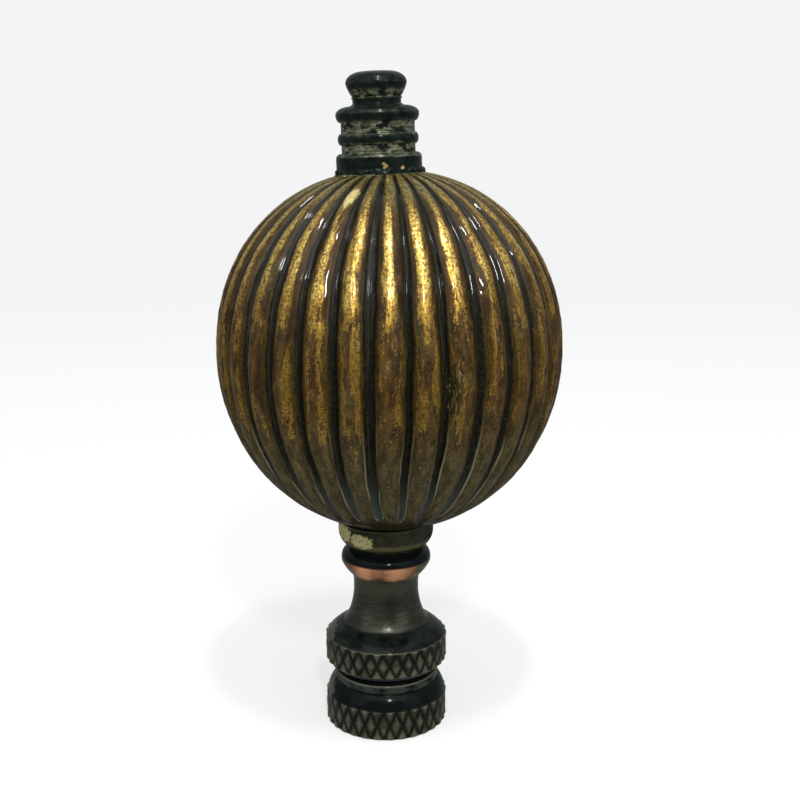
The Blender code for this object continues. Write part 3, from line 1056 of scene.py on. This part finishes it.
def olive_brass(settings):
    """Dull olive brown with a patch of pale leaf at the front left."""
    material, tree, place = new_material("olive_brass")
    cloud = spots(place, 1.3, 4.0, 0.6)
    speckle = spots(place, 0.14, 3.0, 0.65)
    ring = rings(place, 0.0, 6.0, 0.16, 3.0, 0.6)
    up, edge = carried(tree, "up", "edge")
    tone = tones(between(cloud, 0.35, 0.65), settings.olive, 0.6, 1.3)
    tone = lay(tone, between(speckle, 0.5, 0.35) * 0.4, settings.olive, 0.2)
    leaf = patches(place, CUP_LEAF, 0.7, 2.8)
    leafed = tones(between(speckle, 0.38, 0.58), settings.leaf, 0.3, 0.92)
    tone = lay(tone, window(up, *CUP_FOOT) * 0.45, settings.leaf, 0.35)
    tone = blend(leaf, tone, leafed)
    tone = lay(tone, between(edge, 0.05, 0.1, 0.0, 0.2), settings.leaf, 0.4)
    finish_material(
        tree,
        {
            "Base Color": tone, "Metallic": mix(leaf, 0.55, 0.35), "Roughness": mix(leaf, 0.42, 0.5),
            "Specular IOR Level": 0.12,
        },
        [(cloud, 0.12, 0.4), (ring, 0.02, 0.4), (speckle, 0.02, 0.4)],
    )
    return material


class FINIAL_OT_cup(bpy.types.Operator):
    """Turn the cup under the ball"""

    bl_idname = "finial.cup"
    bl_label = "Cup"

    def execute(self, context):
        settings = context.scene.finial_cup
        profile = soften(cup_profile(settings), radius=0.08 * MM, spacing=0.13 * MM)
        mesh = turned_mesh("olive_cup", profile, TURNED_COLUMNS, olive_brass(settings))
        place_piece("olive_cup", mesh, "seat_cup")
        return {"FINISHED"}


# Cap on the ball

# Heights are in the cap's own upright frame, from the underside of its flange
CAP_SUNK = -0.55 * MM
CAP_FLANGE_TOP = 1.1 * MM
GROOVE_RADIUS = 3.56 * MM
GROOVE_HEIGHTS = (1.57 * MM, 2.31 * MM, 4.44 * MM)
CAP_BEAD = (1.13 * MM, 3.9 * MM)
TORUS_MIDDLE = 5.19 * MM
TORUS_TOP = (2.65 * MM, 5.94 * MM)
NECK_LOW = (2.33 * MM, 6.14 * MM)
NECK_HIGH = (2.33 * MM, 6.56 * MM)
NECK_BEAD = (0.22 * MM, 2.44 * MM)
KNOB_MIDDLE = 8.04 * MM
KNOB_TOP = (1.4 * MM, 9.12 * MM)

# Where the black is worn, by height in mm: where it starts, is full, ends and begins to fade
LOW_GROOVE = (1.35, 1.55, 2.45, 2.3)
HIGH_GROOVE = (3.35, 3.5, 4.55, 4.4)
UNDER_KNOB = (6.5, 6.6, 7.65, 7.05)

# Gold flakes, in mm: centre, half sizes and lean of each
FLAKES = (
    ((0.12, -4.1, 57.6), (0.27, 0.6, 0.16), -0.7),
    ((-0.05, -4.1, 57.85), (0.15, 0.6, 0.14), 0.0),
    ((1.72, -3.55, 57.5), (0.17, 0.6, 0.17), 0.0),
)
RESIDUE_TOP = 0.05 * MM
RESIDUE_REACH = 0.32 * MM


def cap_profile(settings):
    """The cap's outline: foot in the ball's crown, flange, bead, torus, neck and knob."""
    flange, groove = settings.flange_radius, GROOVE_RADIUS
    rows = [(0.0, CAP_SUNK), (flange, CAP_SUNK), (flange, CAP_FLANGE_TOP)]
    rows += arc(rows[-1], (groove, GROOVE_HEIGHTS[0]), 10, True)
    rows.append((groove, GROOVE_HEIGHTS[1]))
    rows += bulge(rows[-1], *CAP_BEAD, 16)
    rows.append((groove, GROOVE_HEIGHTS[2]))
    rows += arc(rows[-1], (settings.torus_radius, TORUS_MIDDLE), 12, False)
    rows += arc(rows[-1], TORUS_TOP, 14, True)
    rows += [NECK_LOW, NECK_HIGH]
    rows += bulge(rows[-1], *NECK_BEAD, 6)
    rows += arc(rows[-1], (settings.knob_radius, KNOB_MIDDLE), 14, False, 0.3)
    rows += arc(rows[-1], KNOB_TOP, 16, True)
    rows.append((0.0, KNOB_TOP[1]))
    return rows


def residue_tree(values):
    """Geometry Nodes: lumps of old dark glaze round the foot of the cap."""
    tree, given, out = geometry_tree("foot_residue", values, takes_mesh=True)
    place = wire(tree, "GeometryNodeInputPosition")
    x, y, z = parts(place)
    lumps = spots(place, 0.8, 4.0, 0.6)
    uneven = given["Top"] + centred(lumps, 0.9 * MM)
    low = between(z, uneven, uneven - 0.25 * MM)
    out_by = between(lumps, 0.34, 0.68) * (given["Reach"] * low)
    return close_tree(push_out(given["Mesh"], place, hypot(x, y), out_by), given["Material"], out)


def dark_brass(settings):
    """Near-black oxidised brass, worn to olive in the grooves, with flakes of gold at its foot."""
    material, tree, place = new_material("dark_brass")
    up, edge = carried(tree, "up", "edge")
    cloud = spots(place, 0.9, 4.0, 0.6)
    blotch = rings(place, settings.offset, 3.2, 0.55, 4.0, 0.6)
    speckle = spots(place, 0.13, 3.0, 0.65)
    ring = rings(place, settings.offset, 5.0, 0.16, 3.0, 0.6)
    black = tones(between(cloud, 0.3, 0.7), settings.black, 0.7, 2.0)
    worn = tones(between(speckle, 0.35, 0.65), settings.worn, 0.45, 1.2)
    worn = blend(between(ring, 0.44, 0.58), rgb(settings.worn, 0.25), worn)

    # The brass shows in the grooves, under the knob and along the edges
    grooves = most(window(up, *LOW_GROOVE), window(up, *HIGH_GROOVE), window(up, *UNDER_KNOB) * 0.8)
    shows = grooves * between(blotch, 0.42, 0.56)
    worn_edge = between(edge + blotch * 0.1, 0.08, 0.13) * between(up, 4.6, 4.4, 0.2, 0.6)
    shows = most(shows * 0.85, worn_edge)
    tone = blend(shows, black, worn)
    rubbed = between(up + centred(cloud, 0.5), 8.72, 9.16, 0.0, 0.55)
    tone = lay(tone, rubbed, settings.rubbed)
    flakes = patches(place, FLAKES, 0.45, 1.6)
    tone = lay(tone, flakes, settings.flake)
    rough = mix(shows, mix(between(cloud, 0.3, 0.7), 0.18, 0.32), 0.34)
    finish_material(
        tree,
        {
            "Base Color": tone, "Metallic": mix(most(shows, flakes), 0.3, 0.8), "Roughness": rough,
            "Specular IOR Level": 0.06, "Coat Weight": 0.18, "Coat Roughness": 0.08, "Coat IOR": 1.45,
            "Sheen Weight": 0.06, "Sheen Roughness": 0.28, "Sheen Tint": SHEEN_TINT,
        },
        [(cloud, 0.06, 0.4), (ring, 0.015, 0.4), (speckle, 0.012, 0.4)],
    )
    return material


class FINIAL_OT_cap(bpy.types.Operator):
    """Turn the cap and set it on the ball"""

    bl_idname = "finial.cap"
    bl_label = "Cap"

    def execute(self, context):
        settings = context.scene.finial_cap
        profile = soften(cap_profile(settings), radius=0.08 * MM, spacing=0.11 * MM)
        material = dark_brass(settings)
        blank = turned_mesh("cap_blank", profile, TURNED_COLUMNS, material)
        values = {"Top": RESIDUE_TOP, "Reach": RESIDUE_REACH, "Material": material}
        mesh = grow("black_cap", blank, residue_tree(values), values)
        foot = cap_box[0].z + settings.flange_radius * math.sin(settings.lean)
        lean = Matrix.Rotation(-settings.lean, 4, "Y")
        mesh.transform(Matrix.Translation((settings.offset, 0.0, foot)) @ lean)
        place_piece("black_cap", mesh, "top_cap")
        return {"FINISHED"}


# Studio

FLOOR_GAP = 0.02 * MM
FLOOR_RADIUS = 0.45
FLOOR_RINGS = 6
WALL_FOOT = (0.70, 0.25)
WALL_TOP = (0.70, 0.30)
FLOOR_COLUMNS = 96

# Name, place, point aimed at, width, height and power of each light
LIGHTS = (
    ("overhead", (0.03, -0.27, 0.56), (0.0, 0.0, 0.03), 0.80, 0.60, 1.35),
    ("left_box", (-0.45, -0.30, 0.30), (0.0, 0.0, 0.03), 0.40, 0.50, 0.30),
    ("right_box", (0.42, -0.34, 0.28), (0.0, 0.0, 0.03), 0.40, 0.50, 0.30),
    ("low_window", (0.05, -0.34, 0.30), (0.0, 0.0, 0.04), 0.018, 0.060, 0.62),
    ("high_window", (0.02, -0.11, 0.34), (0.0, 0.0, 0.05), 0.016, 0.040, 0.34),
)


class FINIAL_OT_studio(bpy.types.Operator):
    """Set the pale floor, the soft lights and the camera"""

    bl_idname = "finial.studio"
    bl_label = "Studio"

    def execute(self, context):
        settings = context.scene.finial_studio
        self.sweep(settings)
        self.lights()
        self.surroundings(context, settings)
        camera = bpy.data.objects.new("camera", bpy.data.cameras.new("camera"))
        camera.data.sensor_width = 36.0
        camera.data.lens = settings.lens
        camera.data.clip_start = 0.005
        camera.data.clip_end = 20.0
        camera.location = (settings.aside, -settings.distance, settings.height)
        camera.rotation_euler = (0.5 * math.pi - settings.pitch, 0.0, 0.0)
        context.scene.collection.objects.link(camera)
        context.scene.camera = camera
        context.scene.view_settings.view_transform = "Standard"
        return {"FINISHED"}

    def sweep(self, settings):
        """A round floor that curves up into a wall on every side."""
        material, tree, _ = new_material("pale_paper")
        glow = {"Emission Color": (1.0, 1.0, 1.0, 1.0), "Emission Strength": settings.glow}
        finish_material(tree, {"Base Color": rgb(settings.floor), "Roughness": 0.9, **glow})
        rows = [(FLOOR_RADIUS * step / FLOOR_RINGS, 0.0) for step in range(FLOOR_RINGS + 1)]
        rows += arc(rows[-1], WALL_FOOT, 16, False)
        rows.append(WALL_TOP)
        points, faces = turned_rings([(radius, height - FLOOR_GAP) for radius, height in rows], FLOOR_COLUMNS)
        mesh = bpy.data.meshes.new("floor")
        mesh.from_pydata(points, [], [face[::-1] for face in faces])
        mesh.materials.append(material)
        mesh.shade_smooth()
        floor = bpy.data.objects.new("floor", mesh)
        floor.visible_glossy = False
        bpy.context.scene.collection.objects.link(floor)

    def lights(self):
        """Soft boxes above and at both sides, and two small windows in front."""
        for name, spot, aim, wide, tall, power in LIGHTS:
            light = bpy.data.lights.new(name, "AREA")
            light.shape = "RECTANGLE"
            light.size = wide
            light.size_y = tall
            light.energy = power
            lamp = bpy.data.objects.new(name, light)
            lamp.location = spot
            lamp.rotation_euler = (Vector(aim) - Vector(spot)).to_track_quat("-Z", "Y").to_euler()
            bpy.context.scene.collection.objects.link(lamp)

    def surroundings(self, context, settings):
        """Soft light from all round: brightest overhead, dim below the horizon."""
        world = bpy.data.worlds.new("surroundings")
        world.use_nodes = True
        tree = world.node_tree
        tree.nodes.clear()
        direction = Wire(put(tree, "ShaderNodeTexCoord").outputs["Generated"])
        _, _, rise = parts(direction)
        strength = mix(between(rise, -0.35, 0.05), settings.below, settings.level)
        strength = mix(between(rise, 0.1, 0.8), strength, settings.above)
        glow = wire(tree, "ShaderNodeBackground", {"Color": rgb(settings.air), "Strength": strength})
        put(tree, "ShaderNodeOutputWorld", {0: glow})
        context.scene.world = world


class FINIAL_PT_sidebar(bpy.types.Panel):
    """Lists the finial's pieces and the studio"""

    bl_idname = "FINIAL_PT_sidebar"
    bl_label = "Lamp Shade Finial"
    bl_space_type = "VIEW_3D"
    bl_region_type = "UI"
    bl_category = "Finial"

    def draw(self, context):
        for operator in OPERATORS:
            self.layout.operator(operator.bl_idname)
        for label in SETTINGS:
            box = self.layout.box()
            group = getattr(context.scene, label)
            for name in group.__annotations__:
                box.prop(group, name)


SETTINGS = {
    "finial_ball": BallSettings,
    "finial_base": BaseSettings,
    "finial_cup": CupSettings,
    "finial_cap": CapSettings,
    "finial_studio": StudioSettings,
}
OPERATORS = (FINIAL_OT_base, FINIAL_OT_cup, FINIAL_OT_ball, FINIAL_OT_cap, FINIAL_OT_studio)


def register():
    """Register the settings, the operators and the panel."""
    for label, group in SETTINGS.items():
        bpy.utils.register_class(group)
        setattr(bpy.types.Scene, label, PointerProperty(type=group))
    for operator in OPERATORS:
        bpy.utils.register_class(operator)
    bpy.utils.register_class(FINIAL_PT_sidebar)


def unregister():
    """Remove what register added."""
    bpy.utils.unregister_class(FINIAL_PT_sidebar)
    for operator in reversed(OPERATORS):
        bpy.utils.unregister_class(operator)
    for label, group in reversed(SETTINGS.items()):
        delattr(bpy.types.Scene, label)
        bpy.utils.unregister_class(group)


def main():
    """Build every piece and the studio."""
    register()
    for operator in OPERATORS:
        group, name = operator.bl_idname.split(".")
        getattr(getattr(bpy.ops, group), name)()
    bpy.context.view_layer.update()


if __name__ == "__main__":
    main()
